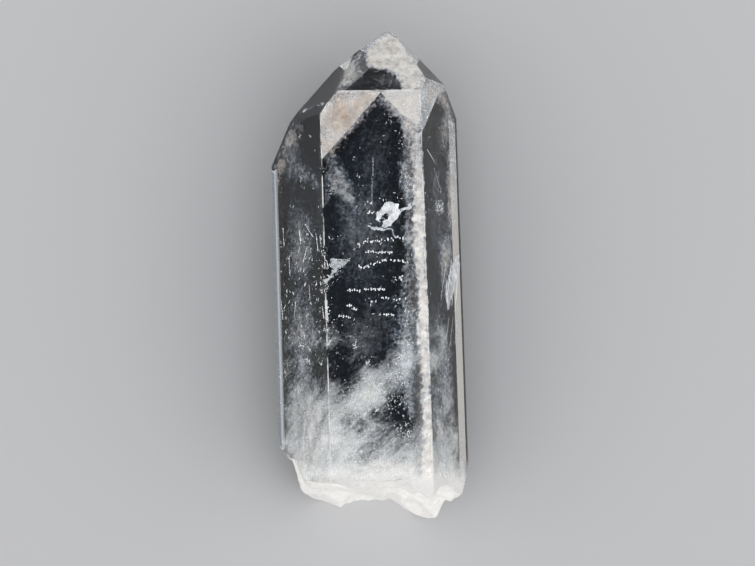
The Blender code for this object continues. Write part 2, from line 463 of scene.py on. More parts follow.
def build_body(settings):
    """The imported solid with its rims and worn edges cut, and its broken faces marked."""
    body = node_copy("quartz_crystal", "crystal_body")
    make_active(body)
    bpy.ops.object.mode_set(mode="EDIT")
    bpy.ops.mesh.select_all(action="SELECT")
    bpy.ops.mesh.remove_doubles(threshold=MERGE_DISTANCE)
    bpy.ops.mesh.dissolve_limited(angle_limit=FLAT_ANGLE)
    bpy.ops.object.mode_set(mode="OBJECT")
    bpy.ops.mesh.customdata_custom_splitnormals_clear()
    for turn, share in RIM_TURNS:
        cut_facet(body, facet_normal(turn), settings.rim_depth * share)
    worn = [facet_normal(turn) for turn in WORN_TURNS]
    worn.append((facet_normal(0) + facet_normal(0, RHOMB_RAISE)).normalized())
    for normal in worn:
        cut_facet(body, normal, settings.edge_wear)
    mesh = body.data
    mesh.attributes.new("broken", "FLOAT", "FACE")
    mesh.attributes.new("worn", "FLOAT", "FACE")
    broken, rubbed = mesh.attributes["broken"], mesh.attributes["worn"]
    for face in mesh.polygons:
        face.use_smooth = False
        if any(face.normal.dot(n) > SAME_WAY for n in worn):
            rubbed.data[face.index].value = 1.0
        elif face.normal.y < BREAK_LEAN and face.center.y < BREAK_TOP:
            broken.data[face.index].value = 1.0
    mesh.materials.clear()
    mesh.materials.append(quartz_material(settings))
    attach(body, "root")
    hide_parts("quartz_crystal")
    return body


# Small grains, copied many times
GRAIN_FLATNESS = 0.8
GRAIN_UNEVEN = (0.75, 1.2)
# the grains that each piece repeats in turn: length, width and seed of each
CLOUD_GRAINS = ((1.6, 0.7, 10), (1.0, 0.9, 11), (1.2, 0.5, 11))
BUBBLE_GRAINS = ((1.7, 0.9, 11), (1.1, 1.0, 12))
FLECK_GRAINS = ((3.4, 0.9, 12), (1.2, 0.9, 11))
GLINT_GRAINS = ((1.2, 0.8, 11), (1.6, 0.6, 10))


def grain_shape(length, width, seed):
    """Corners and faces of a small uneven grain, long in Y and a little flat in Z."""
    deselect_all()
    bpy.ops.mesh.primitive_ico_sphere_add(subdivisions=1, radius=0.5)
    grain = bpy.context.object
    bpy.ops.object.mode_set(mode="EDIT")
    bpy.ops.mesh.select_all(action="SELECT")
    bpy.ops.transform.resize(value=(width, length, width * GRAIN_FLATNESS))
    bpy.ops.object.mode_set(mode="OBJECT")
    draw = random.Random(seed)
    for vertex in grain.data.vertices:
        vertex.co *= draw.uniform(*GRAIN_UNEVEN)
    points = np.array([v.co[:] for v in grain.data.vertices])
    faces = np.array([p.vertices[:] for p in grain.data.polygons])
    bpy.data.objects.remove(grain, do_unlink=True)
    return points, faces


def scatter(name, grains, places, material):
    """One joined mesh of many copies of a few grains, one at each 4x4 matrix in places (metres)."""
    shapes = [grain_shape(*grain) for grain in grains]
    points, faces, start = [], [], 0
    for number, place in enumerate(places):
        shape, sides = shapes[number % len(shapes)]
        matrix = np.array(place)
        points.append(shape @ matrix[:3, :3].T + matrix[:3, 3])
        faces.append(sides + start)
        start += len(shape)
    mesh = bpy.data.meshes.new(name)
    mesh.from_pydata(np.concatenate(points).tolist(), [], np.concatenate(faces).tolist())
    mesh.update()
    obj = new_object(name, mesh)
    mesh.materials.append(material)
    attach(obj, "root")
    return obj


def grain_place(draw, place, size, turn=None):
    """A matrix that puts a grain of about one unit at a place in mm with a size in mm."""
    if turn is None:
        angle = draw.uniform(0, math.tau)
        turn = Matrix.Rotation(angle, 4, Vector([draw.uniform(-1, 1) for _ in range(3)]))
    return Matrix.Translation(Vector(place) * MM) @ turn @ Matrix.Scale(size * MM, 4)


# How milky the cloud is
# soft lumps of the cloud in mm: centre x, y, z, half length, half width, turn from X, strength
CLOUD_LUMPS = (
    (-1.0, -21.0, 8.0, 8.0, 3.0, 16.0, 0.4),
    (-6.5, -19.0, 9.0, 4.0, 2.8, 85.0, 0.4),
    (6.8, -19.0, 8.0, 5.0, 1.8, 88.0, 0.3),
    (-1.5, -15.5, 10.0, 7.5, 2.0, 34.0, 0.5),
    (1.5, -11.5, 11.0, 6.5, 1.8, 42.0, 0.4),
    (4.0, -8.0, 12.0, 4.0, 1.8, 72.0, 0.4),
    (-4.0, -8.0, 13.0, 2.4, 1.6, 10.0, 0.42),
    (-0.5, -8.0, 13.0, 2.4, 1.6, 60.0, 0.3),
    (-7.0, -10.5, 9.0, 7.0, 3.0, 88.0, 0.5),
    (6.3, -11.0, 9.0, 7.0, 1.4, 86.0, 0.5),
    (8.8, -15.0, 8.0, 6.5, 1.0, 90.0, -0.5),
    (2.6, -16.6, 13.0, 3.6, 1.4, 95.0, -0.22),
    (-3.6, -11.0, 13.0, 1.6, 1.3, 90.0, -0.3),
    (0.6, -7.6, 13.0, 2.2, 1.2, 20.0, -0.3),
    (-3.2, -14.0, 12.0, 4.5, 2.4, 20.0, 0.4),
    (-0.5, -11.0, 12.0, 3.0, 2.6, 60.0, 0.25),
    (-6.8, -15.0, 9.0, 3.5, 2.0, 80.0, 0.35),
)
LUMP_HALF_HEIGHT = 7.0
# distances from the middle towards the root (mm) at which the root's milk and the haze set in
# and are full, and how dense each then is
ROOT_SPAN = (20.4, 24.6)
HAZE_SPAN = (13.0, 21.4)
ROOT_DENSITY = 1.5
HAZE_DENSITY = 0.62
# size of the cloud's own uneven patches in mm, how flat they are, and how strong
CLOUD_PATCH = 2.6
PATCH_FLATNESS = 0.6
CLOUD_UNEVEN = 0.8


def cloud_density(points):
    """How milky the quartz is at each of some places (mm): 0 clear to above 1 at the root."""
    x, y, z = points[:, 0], points[:, 1], points[:, 2]
    total = ROOT_DENSITY * smooth(-y, *ROOT_SPAN) + HAZE_DENSITY * smooth(-y, *HAZE_SPAN)
    for cx, cy, cz, long, wide, turn, strength in CLOUD_LUMPS:
        a = math.radians(turn)
        u = (x - cx) * math.cos(a) + (y - cy) * math.sin(a)
        v = -(x - cx) * math.sin(a) + (y - cy) * math.cos(a)
        w = (z - cz) / LUMP_HALF_HEIGHT
        total = total + strength * np.exp(-((u / long) ** 2) - (v / wide) ** 2 - w**2)
    patchy = [noise.noise(Vector((a, b, PATCH_FLATNESS * c)) / CLOUD_PATCH) for a, b, c in points]
    return np.maximum(total, 0.0) * (1.0 + CLOUD_UNEVEN * np.array(patchy))


# the box that the grains lie in, how deep they lie at least, and their size (all in mm)
GRAIN_BOX = ((-9.5, 9.5), (-26.8, -3.0), (0.3, 16.6))
GRAIN_DEPTH = 0.15
GRAIN_SIZE = (0.05, 0.12)
# grains are larger where the cloud is dense, and none is left out above this square of the density
GRAIN_GROWTH = 0.4
FULL_SQUARE = 1.2
CLOUD_DRAW = 11


def build_cloud(settings):
    """Thousands of tiny grains, close together at the root and thinning out towards the tip."""
    tree = body_tree()
    draw = random.Random(CLOUD_DRAW)
    places = []
    while len(places) < settings.cloud_grains:
        spot = tuple(draw.uniform(*side) for side in GRAIN_BOX)
        density = float(cloud_density(np.array([spot]))[0])
        if draw.random() > density**2 / FULL_SQUARE:
            continue
        if depth_under(tree, spot) < GRAIN_DEPTH:
            continue
        size = draw.uniform(*GRAIN_SIZE) * (1.0 + GRAIN_GROWTH * density)
        places.append(grain_place(draw, spot, size))
    material = milk_material("cloud_grains", settings.cloud_colour)
    return scatter("base_cloud", CLOUD_GRAINS, places, material)


# Sheets
# corners less dense than this are deleted
THINNEST = 0.02
# every kind of sheet starts at its own place in the noise, and each next sheet 1 further on
CLOUD_SEED = 3.1
HAZE_SEED = 20.5
FLAW_SEED = 40.2
PATCH_SEED = 80.2
# how far (mm) a sheet stays below the surface, and how far it takes to reach its full density
CLOUD_MARGIN = 0.08
VEIL_MARGIN = 0.05
FLAW_MARGIN = 0.02
CLOUD_FADE = 1.3


def add_sheet(name, cells, shape, tree, margin, rust=0.0, fade=0.25):
    """A grid sheet: shape turns its two parameters (0 to 1) into places in mm, density and cover.

    The part of the sheet outside the body, or without density, is deleted.
    """
    deselect_all()
    bpy.ops.mesh.primitive_grid_add(x_subdivisions=cells[0], y_subdivisions=cells[1], size=1.0)
    sheet = bpy.context.object
    sheet.name = sheet.data.name = name
    count = len(sheet.data.vertices)
    flat = np.empty(count * 3)
    sheet.data.vertices.foreach_get("co", flat)
    flat = flat.reshape(-1, 3) + 0.5
    places, density, cover = shape(flat[:, 0], flat[:, 1])
    inside = np.array([depth_under(tree, p) for p in places])
    density = density * smooth(inside, margin * 0.5, margin + fade)
    sheet.data.vertices.foreach_set("co", (places * MM).ravel())
    for key, values in (("milkiness", density), ("cover", cover), ("rust", rust)):
        made = sheet.data.attributes.new(key, "FLOAT", "POINT")
        made.data.foreach_set("value", np.broadcast_to(values, count).astype(np.float32))
    drop = (inside < margin * 0.5) | (density < THINNEST)
    sheet.data.polygons.foreach_set("select", np.zeros(len(sheet.data.polygons), bool))
    sheet.data.edges.foreach_set("select", np.zeros(len(sheet.data.edges), bool))
    sheet.data.vertices.foreach_set("select", drop)
    bpy.ops.object.mode_set(mode="EDIT")
    bpy.ops.mesh.select_mode(type="VERT")
    bpy.ops.mesh.delete(type="VERT")
    bpy.ops.mesh.select_all(action="SELECT")
    bpy.ops.mesh.faces_shade_smooth()
    bpy.ops.object.mode_set(mode="OBJECT")
    return sheet


def join_sheets(name, sheets, material):
    """One piece of several sheets, with one material."""
    make_active(sheets[0])
    for sheet in sheets:
        sheet.select_set(True)
    bpy.ops.object.join()
    joined = bpy.context.object
    joined.name = joined.data.name = name
    joined.data.materials.clear()
    joined.data.materials.append(material)
    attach(joined, "root")
    return joined


def waves(x, y, size, height, seed):
    """A gentle uneven swell, the same each run."""
    return np.array(
        [noise.noise(Vector((a / size + seed, b / size, seed * 1.7))) * height for a, b in zip(x, y)]
    )


# heights of the cloud's sheets above the floor (mm), and the cells of each across and along
CLOUD_SHEETS = (15.7, 14.8, 13.8, 12.6, 11.2, 9.8, 8.2, 6.6, 5.0, 3.2, 1.4)
CLOUD_CELLS = (56, 74)
# half width, root end and middle of the sheets, and size and height of their swells (mm)
CLOUD_HALF_WIDTH = 9.8
CLOUD_END = -26.9
CLOUD_MIDDLE = -18.0
CLOUD_SWELLS = (2.6, 1.5)
# how steeply they lean, their share of the cloud's density, and their cover
CLOUD_SLOPE = 0.22
CLOUD_SHARE = 0.84
CLOUD_COVER = 0.42


def cloud_sheet(level, seed):
    """One layer of the cloud, across the whole prism at a height, leaning its own way."""

    def shape(s, t):
        x = -CLOUD_HALF_WIDTH + 2 * CLOUD_HALF_WIDTH * s
        y = CLOUD_END - CLOUD_END * t
        lean_x, lean_y = CLOUD_SLOPE * math.sin(seed * 2.1), CLOUD_SLOPE * math.cos(seed * 1.3)
        z = level + lean_x * x + lean_y * (y - CLOUD_MIDDLE) + waves(x, y, *CLOUD_SWELLS, seed)
        places = np.stack([x, y, z], axis=1)
        return places, CLOUD_SHARE * cloud_density(places), np.full(len(x), CLOUD_COVER)

    return shape


# hazy patches behind a face, where the photograph shows them: pixel, depth (mm), half sizes
# (pixels), turn (degrees) and strengths; their order sets their seeds
Haze = namedtuple("Haze", "across down depth half_length half_width turn density cover rust")
HAZE = (
    # left of the front face, under the cream corner
    (345, 215, 1.6, 34, 8, 120, 0.85, 0.22, 0),
    # bluish haze over the dark middle
    (374, 150, 1.5, 55, 28, 90, 0.8, 0.1, 0),
    (365, 240, 2.5, 70, 46, 90, 0.85, 0.15, 0),
    (368, 330, 1.8, 60, 46, 90, 0.82, 0.12, 0),
    (365, 220, 5.0, 80, 46, 90, 0.8, 0.12, 0),
    # over the edges of the two bright corners
    (350, 128, 0.5, 36, 6, 45, 0.9, 0.5, 0.3),
    (396, 112, 0.5, 26, 6, 130, 0.95, 0.55, 0.4),
    # under the tip
    (388, 80, 1.0, 26, 12, 0, 0.9, 0.22, 0),
    (345, 100, 1.2, 40, 12, 45, 0.8, 0.16, 0),
    # milky sheets beside the right edge, which also paint in the bright band of reflected light
    (406, 180, 0.9, 42, 9, 95, 1.0, 0.45, 0),
    (404, 345, 1.1, 60, 12, 92, 1.0, 0.5, 0),
    # left side
    (300, 245, 1.6, 55, 19, 90, 1.0, 0.38, 0),
    (300, 330, 2.4, 60, 21, 90, 1.0, 0.4, 0),
    (298, 400, 2.4, 50, 21, 90, 1.0, 0.4, 0),
    (305, 465, 1.5, 40, 24, 90, 1.3, 0.62, 0),
    # right side
    (446, 130, 0.6, 34, 9, 80, 1.05, 0.45, 0.4),
    (444, 390, 1.0, 60, 7, 92, 1.0, 0.45, 0),
    # left shoulder
    (292, 160, 1.2, 40, 12, 80, 0.9, 0.25, 0),
    # right side again
    (451, 190, 0.5, 62, 6, 90, 1.3, 0.6, 0.4),
    (446, 262, 0.8, 42, 9, 90, 1.1, 0.5, 0),
    (438, 210, 2.0, 70, 12, 90, 0.8, 0.25, 0),
    (443, 350, 1.4, 60, 11, 100, 1.0, 0.42, 0),
    (440, 430, 1.2, 60, 9, 95, 1.1, 0.5, 0),
)


# a haze patch reaches out to this many of its half sizes and fades this fast; its swells have
# this size in pixels and at most this height in mm
HAZE_REACH = 1.5
HAZE_FALL = 1.3
HAZE_SWELL = 22.0
HAZE_HEIGHT = 0.6


def haze_sheet(tree, haze, seed):
    """A thin patch with soft ends, behind the face that the camera sees at a pixel."""
    face = face_at_pixel(tree, haze.across, haze.down)
    a = math.radians(haze.turn)

    def shape(s, t):
        u = (2 * s - 1) * haze.half_length * HAZE_REACH
        v = (2 * t - 1) * haze.half_width * HAZE_REACH
        x = haze.across + u * math.cos(a) - v * math.sin(a)
        y = haze.down - u * math.sin(a) - v * math.cos(a)
        swell = 1.0 + waves(x, y, HAZE_SWELL, 1.0, seed)
        drop = haze.depth + swell * min(HAZE_HEIGHT, haze.depth)
        places = np.array([under_pixel(face, i, j, k)[:] for i, j, k in zip(x, y, drop)])
        steep = -HAZE_FALL * (u / haze.half_length) ** 2 - HAZE_FALL * (v / haze.half_width) ** 2
        return places, haze.density * np.exp(steep), np.full(len(x), haze.cover)

    return shape


# milky patches that fill an outline in the photograph, some of them painted light: outline and soft
# edge (pixels), depth (mm) and strengths; their order sets their seeds
Patch = namedtuple("Patch", "outline depth soft density cover rust")
PATCHES = {
    # painted reflection: the tip and shoulder sheets paint in the milky root as it is reflected into
    # the tip
    "tip": (
        ((392, 31), (399, 37), (412, 54), (423, 68), (424, 91), (404, 90), (397, 76), (387, 70),
         (370, 68), (365, 60), (367, 47), (380, 36)),
        0.4, 8, 1.5, 0.95, 0.25),
    "shoulder": (
        ((336, 72), (361, 48), (364, 53), (357, 67), (366, 72), (350, 87), (337, 90), (328, 90)),
        0.4, 8, 1.05, 0.6, 0.2),
    "corner_left": (
        ((322, 117), (338, 93), (378, 92), (373, 107), (352, 130), (338, 148), (324, 158)),
        0.4, 12, 1.15, 0.8, 1.05),
    "band_top": (
        ((374, 92), (422, 92), (427, 190), (410, 190), (409, 162), (405, 142), (400, 127),
         (392, 114), (378, 104)),
        0.5, 11, 1.0, 0.72, 0.5),
    "right_of_tip": (
        ((423, 82), (443, 85), (453, 104), (457, 130), (458, 195), (452, 190), (449, 150),
         (444, 112), (436, 101), (430, 106), (426, 122), (424, 95)),
        0.35, 9, 1.1, 0.65, 0.9),
    # partly painted highlight: this sheet paints in the bright rim of light along the left edge
    "left_shoulder_rim": (
        ((292, 121), (300, 127), (300, 140), (288, 152), (284, 172), (276, 195), (272, 172),
         (280, 142)),
        0.35, 10, 1.05, 0.6, 0.8),
    "left_wedge": (
        ((291, 150), (299, 158), (322, 182), (322, 191), (302, 184), (290, 174)),
        0.9, 13, 0.95, 0.42, 0.0),
    "corner_shade": (
        ((323, 150), (332, 154), (342, 162), (352, 180), (360, 205), (356, 218), (341, 202),
         (331, 197), (324, 204)),
        0.8, 11, 0.9, 0.4, 0.0),
    # partly painted light: the band and its fringe paint in the bright band of light reflected inside
    # the prism
    "band": (
        ((414, 180), (424, 180), (425, 230), (428, 300), (431, 400), (435, 486), (420, 486),
         (422, 420), (421, 380), (417, 340), (418, 300), (417, 280), (414, 262), (412, 245),
         (412, 225), (413, 200)),
        0.5, 5, 1.3, 0.9, 0.35),
    "band_fringe": (
        ((404, 180), (412, 180), (414, 300), (416, 400), (412, 430), (398, 380), (400, 330),
         (398, 290), (404, 250)),
        0.9, 9, 0.95, 0.5, 0.0),
}
# swells of a patch, and how far its outline wanders: size and height, in pixels
PATCH_SWELL = 9.0
PATCH_WANDER = (4.0, 3.5)


def ragged_fill(x, y, outline, edge, wander, seed):
    """1 inside an outline and 0 outside it; the soft uneven edge lies between two distances."""
    warped_x = x + waves(x, y, *wander, seed + 3)
    warped_y = y + waves(y, x, *wander, seed + 7)
    return smooth(outline_distance(warped_x, warped_y, outline), *edge)


def patch_sheet(tree, patch, seed):
    """A thin crumpled sheet that fills an outline, behind the face seen at the outline's middle."""
    corners = np.array(patch.outline, float)
    face = face_at_pixel(tree, *corners.mean(axis=0))
    low, high = corners.min(axis=0) - patch.soft, corners.max(axis=0) + patch.soft

    def shape(s, t):
        x = low[0] + (high[0] - low[0]) * s
        y = high[1] - (high[1] - low[1]) * t
        drop = patch.depth * (1.0 + 0.5 * waves(x, y, PATCH_SWELL, 1.0, seed))
        places = np.array([under_pixel(face, i, j, k)[:] for i, j, k in zip(x, y, drop)])
        spread = ragged_fill(x, y, patch.outline, (-patch.soft, patch.soft), PATCH_WANDER, seed)
        return places, patch.density * spread, np.full(len(x), patch.cover)

    return shape, high - low


def build_milk(settings):
    """The milky cloud itself, in layers across the prism."""
    tree = body_tree()
    sheets = []
    for number, level in enumerate(CLOUD_SHEETS):
        shape = cloud_sheet(level, CLOUD_SEED + number)
        name = f"cloud_layer_{number}"
        sheets.append(add_sheet(name, CLOUD_CELLS, shape, tree, CLOUD_MARGIN, fade=CLOUD_FADE))
    colours = (settings.wisp_colour, settings.cloud_colour, settings.stain_colour)
    return join_sheets("milky_cloud", sheets, veil_material("milky_cloud", *colours, CLOUD_LOOK))


def build_veils(settings):
    """The hazy and milky patches close under the faces, where the photograph shows them."""
    # besides haze and milk, these sheets hold painted light: the cream tip, the bright band and the
    # left rim
    tree = body_tree()
    sheets = []
    for number, haze in enumerate(Haze(*row) for row in HAZE):
        cells = (max(12, int(haze.half_length * 0.7)), max(10, int(haze.half_width * 0.9)))
        shape = haze_sheet(tree, haze, HAZE_SEED + number)
        sheets.append(add_sheet(f"haze_{number}", cells, shape, tree, VEIL_MARGIN, haze.rust))
    for number, (name, row) in enumerate(PATCHES.items()):
        patch = Patch(*row)
        shape, size = patch_sheet(tree, patch, PATCH_SEED + number)
        cells = [max(10, int(side * 0.8)) for side in size]
        sheets.append(add_sheet(name, cells, shape, tree, VEIL_MARGIN, patch.rust))
    colours = (settings.veil_colour, settings.cloud_colour, settings.stain_colour)
    return join_sheets("veils", sheets, veil_material("milky_veils_and_painted_light", *colours, VEIL_LOOK))


# Rows of bubbles
# under the front face, in mm: corners of each broken line as across, along
BUBBLE_ROWS = (
    ((-0.6, 6.8), (0.2, 6.8)),
    ((-0.6, 5.6), (0.2, 5.6)),
    ((-1.8, 2.3), (-0.4, 2.5), (1.4, 2.5)),
    ((1.6, 2.8), (3.4, 2.8)),
    ((-0.9, 1.4), (0.6, 1.3), (2.2, 1.2)),
    ((-1.7, -0.3), (-0.9, -0.3), (0.1, 0.1), (1.3, 0.4), (2.8, 0.3), (3.8, 0.1)),
    ((-3.0, -2.8), (-1.5, -2.9)),
    ((-1.2, -2.7), (1.2, -2.8)),
    ((0.6, -3.7), (1.6, -3.8)),
    ((1.8, -4.0), (3.5, -3.9)),
    ((-0.4, -4.1), (0.3, -4.0)),
    ((-3.5, -4.5), (-2.4, -4.5)),
    ((-2.4, -4.8), (-1.8, -4.8)),
    ((-4.0, -5.6), (-2.6, -5.7)),
    ((0.4, -5.5), (2.1, -5.6)),
)
# distance between bubbles and their size (mm), their depth (mm), and the share left out
BUBBLE_STEP = 0.24
BUBBLE_SIZE = (0.15, 0.26)
BUBBLE_DEPTH = (0.15, 0.6)
BUBBLE_GAPS = 0.08
BUBBLE_DRAW = 5


def build_bubbles(settings):
    """Growth lines drawn by rows of tiny upright bubbles."""
    draw = random.Random(BUBBLE_DRAW)
    places = []
    for row in BUBBLE_ROWS:
        for (x0, y0), (x1, y1) in zip(row, row[1:]):
            steps = max(2, round(math.hypot(x1 - x0, y1 - y0) / BUBBLE_STEP))
            for step in range(steps):
                if draw.random() < BUBBLE_GAPS:
                    continue
                share = (step + draw.uniform(-0.3, 0.3)) / steps
                across = x0 + (x1 - x0) * share
                along = y0 + (y1 - y0) * share + draw.gauss(0, 0.06)
                spot = under_face("front", across, along, draw.uniform(*BUBBLE_DEPTH))
                turn = Matrix.Rotation(draw.uniform(-0.5, 0.5), 4, "Z")
                places.append(grain_place(draw, spot, draw.uniform(*BUBBLE_SIZE), turn))
    material = milk_material("bubble_white", settings.bright_colour)
    return scatter("bubble_rows", BUBBLE_GRAINS, places, material)


# Flecks, clusters of grains and streaks
FLECK_DRAW = 23
GLINT_DRAW = 31
# sizes of the slivers and specks (mm), and how deep specks and glints lie at least (mm)
SLIVER_SIZE = (0.09, 0.18)
SPECK_SIZE = (0.05, 0.15)
SPECK_DEPTH = 0.2
GLINT_DEPTH = 0.05


def build_flecks(settings):
    """Fine bright flecks: upright slivers at the left side, specks everywhere else."""
    draw = random.Random(FLECK_DRAW)
    tree = body_tree()
    places = []
    for _ in range(settings.side_flecks):
        along = draw.uniform(-9.0, 4.0)
        spot = under_face("front_left", draw.uniform(-4.0, 4.4), along, draw.uniform(0.2, 2.5))
        turn = Matrix.Rotation(draw.gauss(0.1, 0.35), 4, "Z")
        places.append(grain_place(draw, spot, draw.uniform(*SLIVER_SIZE), turn))
    while len(places) < settings.side_flecks + settings.specks:
        spot = Vector((draw.uniform(-9, 9), draw.triangular(-22, 22, -4), draw.uniform(3, 16.4)))
        if depth_under(tree, spot) > SPECK_DEPTH:
            places.append(grain_place(draw, spot, draw.uniform(*SPECK_SIZE)))
    material = milk_material("fleck_white", settings.bright_colour)
    return scatter("flecks", FLECK_GRAINS, places, material)


# bright spots seen in the photograph: pixel across and down, spread in pixels, grains, grain size mm
SPOTS = (
    (401, 279, 1.6, 7, 0.26), (395, 279, 3.0, 8, 0.14), (356, 346, 2.6, 16, 0.16),
    (368, 363, 2.4, 14, 0.17), (308, 361, 2.0, 12, 0.22), (321, 364, 1.5, 8, 0.2),
    (301, 345, 2.6, 16, 0.2), (400, 358, 4.0, 22, 0.15), (409, 343, 2.2, 9, 0.15),
    (362, 416, 4.0, 20, 0.16), (376, 409, 2.5, 9, 0.14), (361, 451, 1.2, 4, 0.2),
    (356, 462, 1.4, 4, 0.18), (440, 207, 4.2, 60, 0.22), (301, 179, 1.8, 8, 0.18),
    (300, 137, 1.4, 6, 0.16), (310, 136, 1.3, 5, 0.16), (359, 176, 1.8, 9, 0.14),
    (330, 195, 3.2, 8, 0.13), (408, 176, 5.0, 26, 0.16), (406, 188, 4.0, 14, 0.14),
    (390, 118, 4.5, 12, 0.14), (405, 107, 2.8, 12, 0.16), (412, 122, 4.0, 12, 0.14),
    (325, 330, 1.6, 12, 0.16), (327, 345, 1.4, 10, 0.15), (322, 290, 3.0, 14, 0.15),
    (392, 212, 9.0, 30, 0.15), (386, 205, 5.0, 14, 0.17), (334, 272, 7.0, 30, 0.13),
    (398, 402, 9.0, 60, 0.14), (405, 430, 8.0, 60, 0.13), (402, 380, 8.0, 40, 0.12),
    (380, 385, 12.0, 40, 0.12), (350, 400, 12.0, 40, 0.12), (412, 310, 6.0, 30, 0.13),
    (404, 322, 7.0, 30, 0.13), (446, 120, 6.0, 26, 0.12), (450, 160, 5.0, 24, 0.12),
    (432, 95, 4.0, 16, 0.12), (404, 140, 6.0, 30, 0.12), (335, 270, 6.0, 22, 0.1),
    (326, 284, 3.5, 14, 0.12), (343, 263, 5.0, 14, 0.09), (400, 110, 6.0, 24, 0.12),
    (388, 80, 8.0, 16, 0.1), (414, 160, 4.0, 24, 0.13), (440, 380, 8.0, 30, 0.12),
    (436, 160, 6.0, 14, 0.12), (285, 370, 8.0, 24, 0.14),
)
# bright streaks: pixel ends, and width in mm
STREAKS = (
    ((305, 224), (313, 237), 0.13), ((316, 233), (318, 251), 0.16), ((320, 235), (321, 247), 0.1),
    ((299, 230), (301, 244), 0.2), ((283, 228), (284, 246), 0.12), ((307, 247), (303, 262), 0.12),
    ((427, 149), (434, 161), 0.1), ((323, 250), (327, 268), 0.13), ((326, 300), (327, 322), 0.12),
    ((452, 258), (447, 300), 0.16), ((456, 256), (452, 306), 0.12), ((458, 268), (455, 312), 0.12),
    ((449, 318), (446, 340), 0.08), ((453, 318), (450, 346), 0.08), ((457, 320), (455, 344), 0.08),
    ((322, 306), (324, 318), 0.12), ((331, 259), (350, 260), 0.08), ((446, 262), (441, 300), 0.1),
    ((460, 262), (456, 300), 0.1), ((434, 168), (440, 188), 0.06), ((289, 258), (290, 276), 0.1),
    ((296, 300), (294, 318), 0.09), ((281, 300), (283, 320), 0.1), ((309, 285), (310, 300), 0.08),
    ((373, 158), (373, 176), 0.05), ((372, 178), (372, 205), 0.04),
)


def build_glints(settings):
    """Clusters of bright grains and short streaks, each where the photograph shows it."""
    draw = random.Random(GLINT_DRAW)
    tree = body_tree()
    places = []
    for across, down, spread, count, size in SPOTS:
        face = face_at_pixel(tree, across, down)
        for _ in range(count):
            x, y = draw.gauss(across, spread * 0.55), draw.gauss(down, spread * 0.7)
            spot = under_pixel(face, x, y, draw.uniform(0.25, 1.0))
            if depth_under(tree, spot) > GLINT_DEPTH:
                places.append(grain_place(draw, spot, size * draw.uniform(0.5, 1.15)))
    for (x0, y0), (x1, y1), width in STREAKS:
        face = face_at_pixel(tree, (x0 + x1) / 2, (y0 + y1) / 2)
        depth = draw.uniform(0.4, 0.9)
        start, end = under_pixel(face, x0, y0, depth), under_pixel(face, x1, y1, depth)
        bits = max(2, int((end - start).length / (width * 1.6)))
        turn = (end - start).to_track_quat("Y", "Z").to_matrix().to_4x4()
        for bit in range(bits):
            spot = start.lerp(end, (bit + 0.5) / bits) + Vector((draw.gauss(0, width * 0.12), 0, 0))
            if depth_under(tree, spot) > GLINT_DEPTH:
                places.append(grain_place(draw, spot, width * draw.uniform(1.1, 1.9), turn))
    material = milk_material("glint_white", settings.bright_colour)
    return scatter("glints", GLINT_GRAINS, places, material)


# Flaws and cracks
# outlines under a face, in mm: across, along
BRIGHT_FLAW = (
    (0.2, 5.0), (0.4, 5.6), (1.0, 6.2), (1.5, 6.9), (2.1, 6.7), (2.7, 6.5), (2.9, 5.7), (2.6, 5.1),
    (2.3, 4.6), (1.9, 4.1), (1.3, 4.0), (0.8, 4.1), (1.1, 4.7), (1.5, 4.9), (1.55, 5.3), (1.3, 5.5),
    (1.05, 5.3), (0.95, 4.8), (0.5, 4.7),
)
FLAW_ARM = ((2.8, 6.0), (3.4, 6.3), (4.0, 6.6), (4.3, 6.7), (4.3, 6.0), (3.6, 5.8), (2.9, 5.3))
FLAW_TAIL = ((0.6, 3.9), (-0.6, 4.2), (-0.3, 3.8), (0.7, 3.6), (1.8, 3.7), (1.5, 4.0))
FLAW_DRIP = ((1.9, 4.1), (2.1, 3.9), (2.4, 2.9), (2.2, 2.9))
LEFT_FLAKE = (
    (-4.8, 0.8), (-3.8, 0.8), (-2.6, 0.6), (-3.1, 0.0), (-3.8, -0.6), (-4.2, -1.0), (-4.5, -1.5),
    (-4.8, -2.0), (-5.2, -3.0), (-5.3, -2.8), (-5.1, -2.0), (-5.3, -1.4), (-5.2, -1.2), (-4.8, -0.6),
    (-5.1, 0.3),
)
RIGHT_WEDGE = (
    (4.8, 2.5), (3.7, 1.7), (1.7, -0.1), (0.6, -1.7), (0.5, -3.4), (1.0, -5.1), (1.6, -4.4),
    (2.3, -3.2), (3.4, -1.9), (4.5, -0.1),
)
# bright flaws: face, outline, depth and soft edge (mm) and strengths; their order sets their seeds
Flaw = namedtuple("Flaw", "face outline depth soft density cover")
FLAWS = {
    "flaw_body": ("front", BRIGHT_FLAW, 0.8, 0.18, 1.6, 1.0),
    "flaw_arm": ("front", FLAW_ARM, 0.9, 0.2, 1.2, 0.9),
    "flaw_tail": ("front", FLAW_TAIL, 0.8, 0.15, 1.2, 0.8),
    "flaw_drip": ("front", FLAW_DRIP, 0.8, 0.1, 1.0, 0.7),
    "left_flake": ("front", LEFT_FLAKE, 0.5, 0.5, 1.15, 0.6),
    "right_wedge": ("front_right", RIGHT_WEDGE, 1.0, 0.35, 1.05, 0.75),
}
# room round a flaw's outline, where its soft edge starts outside, and size and height of its
# swells and of the outline's wandering (mm)
FLAW_ROOM = 0.3
FLAW_EDGE = -0.12
FLAW_SWELLS = (0.8, 0.35)
FLAW_WANDER = (0.5, 0.3)
FLAW_CELLS_PER_MM = 16


